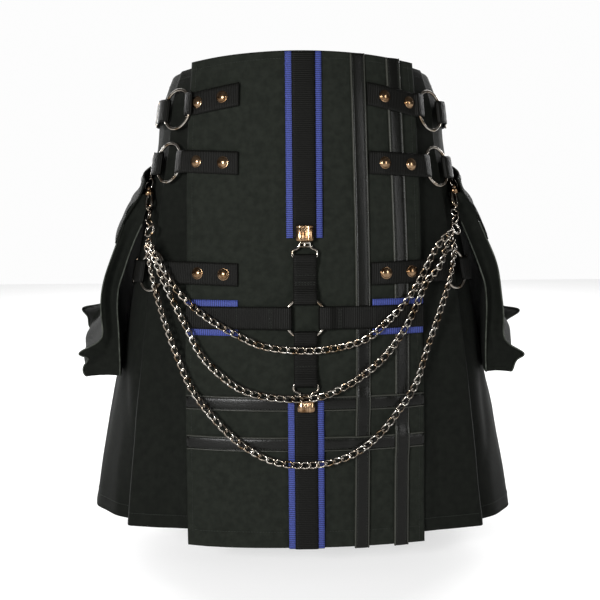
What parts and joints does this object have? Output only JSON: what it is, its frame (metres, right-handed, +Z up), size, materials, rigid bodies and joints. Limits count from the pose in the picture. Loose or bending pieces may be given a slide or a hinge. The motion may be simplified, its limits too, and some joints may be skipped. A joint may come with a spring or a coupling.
{
  "type": "utility kilt",
  "caption": "Black-green denim utility kilt, worn and hollow: flat apron with leather strips and blue-edged webbing, ring straps, draped chains, cargo pockets, pleated sides and back.",
  "frame": {"origin": "middle of the waist opening, 30 mm below the top of the front edge, where the wearer's waist holds the kilt", "axes": "+Z up, the apron faces -Y, +X is the viewer's right of the front"},
  "size_m": [0.611, 0.3911, 0.6115],
  "materials": {
    "denim": "black-green cotton twill, matt, lightly brushed, with tone-on-tone topstitching",
    "webbing": "black ribbed nylon webbing with a low sheen",
    "blue_ribbon": "royal blue woven ribbon with a soft sheen",
    "leather": "black grained leather strip, semi-gloss, padded between two stitched edges",
    "nickel": "polished nickel plate, warm reflections"
  },
  "bodies": {
    "root": {"apron": "denim", "under_apron": "denim", "pleats_left": "denim", "pleats_right": "denim", "pocket_left": "denim", "pocket_right": "denim", "pocket_flap_left": "denim", "pocket_flap_right": "denim", "leather_upright_inner": "leather", "leather_upright_outer": "leather", "leather_cross_upper": "leather", "leather_cross_lower": "leather", "ribbon_upper": "blue_ribbon", "ribbon_lower": "blue_ribbon", "ribbon_left": "blue_ribbon", "ribbon_right": "blue_ribbon", "webbing_upper": "webbing", "webbing_lower": "webbing", "strap_up": "webbing", "strap_down": "webbing", "strap_left": "webbing", "strap_right": "webbing", "strap_front_left_1": "webbing", "strap_front_left_2": "webbing", "strap_front_left_3": "webbing", "strap_front_right_1": "webbing", "strap_front_right_2": "webbing", "strap_front_right_3": "webbing", "strap_rear_left_1": "webbing", "strap_rear_left_2": "webbing", "strap_rear_left_3": "webbing", "strap_rear_right_1": "webbing", "strap_rear_right_2": "webbing", "strap_rear_right_3": "webbing", "ring_middle": "nickel", "ring_left_1": "nickel", "ring_left_2": "nickel", "ring_left_3": "nickel", "ring_right_1": "nickel", "ring_right_2": "nickel", "ring_right_3": "nickel", "rivet_left_1_1": "nickel", "rivet_left_1_2": "nickel", "rivet_left_2_1": "nickel", "rivet_left_2_2": "nickel", "rivet_left_3_1": "nickel", "rivet_left_3_2": "nickel", "rivet_right_1_1": "nickel", "rivet_right_1_2": "nickel", "rivet_right_2_1": "nickel", "rivet_right_2_2": "nickel", "rivet_right_3_1": "nickel", "rivet_right_3_2": "nickel", "clip_upper": "nickel", "clip_lower": "nickel", "clasp_left": "nickel", "clasp_right": "nickel", "chain_upper": "nickel", "chain_middle": "nickel", "chain_lower": "nickel"}
  },
  "joints": []
}
